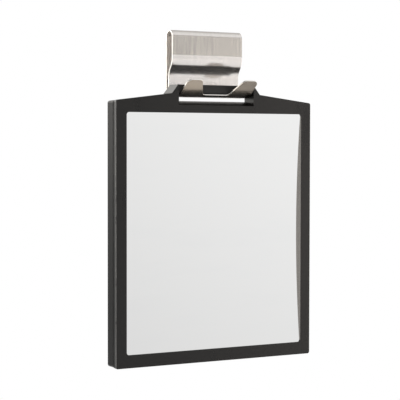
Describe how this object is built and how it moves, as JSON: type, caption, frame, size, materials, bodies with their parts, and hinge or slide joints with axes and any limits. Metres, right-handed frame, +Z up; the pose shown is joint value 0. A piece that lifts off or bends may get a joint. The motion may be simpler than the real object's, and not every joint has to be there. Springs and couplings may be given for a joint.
{
  "type": "fogless shower mirror",
  "caption": "Rectangular shower mirror with a hollow-curved glass and a hot-water tank behind it, hung by its top bar on a bent steel wall hook whose prongs hold a razor.",
  "frame": {"origin": "centre of the adhesive pad's face on the wall", "axes": "+Y into the wall, -Y towards the user, +Z up, +X to the user's right"},
  "size_m": [0.19, 0.0399, 0.2795],
  "materials": {
    "bracket_steel": "stainless strip, brushed across its width, bright at the bends",
    "tape_foam": "grey acrylic foam tape",
    "bezel_plastic": "charcoal moulded plastic with a fine satin grain",
    "tank_plastic": "charcoal moulded plastic, a little smoother than the bezel",
    "mirror": "silvered sheet, clean",
    "seal_rubber": "black rubber",
    "plug_rubber": "black soft rubber",
    "screw_steel": "small stainless pan heads"
  },
  "bodies": {
    "wall_hook": {"hanger_bracket": "bracket_steel", "wall_tape": "tape_foam"},
    "mirror_unit": {"front_bezel": "bezel_plastic", "mirror_panel": "mirror", "mirror_seal": "seal_rubber", "edge_seal": "seal_rubber", "rear_tank": "tank_plastic", "housing_screws": "screw_steel", "wall_bumpers": "seal_rubber"},
    "plug": {"fill_plug": "plug_rubber"}
  },
  "joints": [
    {"name": "mirror_swing", "type": "hinge", "parent": "wall_hook", "child": "mirror_unit", "pos_m": [0, -0.015, -0.0234], "axis": [-1, 0, 0], "range_deg": [0, 30]},
    {"name": "plug_pull", "type": "slide", "parent": "mirror_unit", "child": "plug", "axis": [0, 1, 0], "range_m": [0, 0.009]}
  ]
}
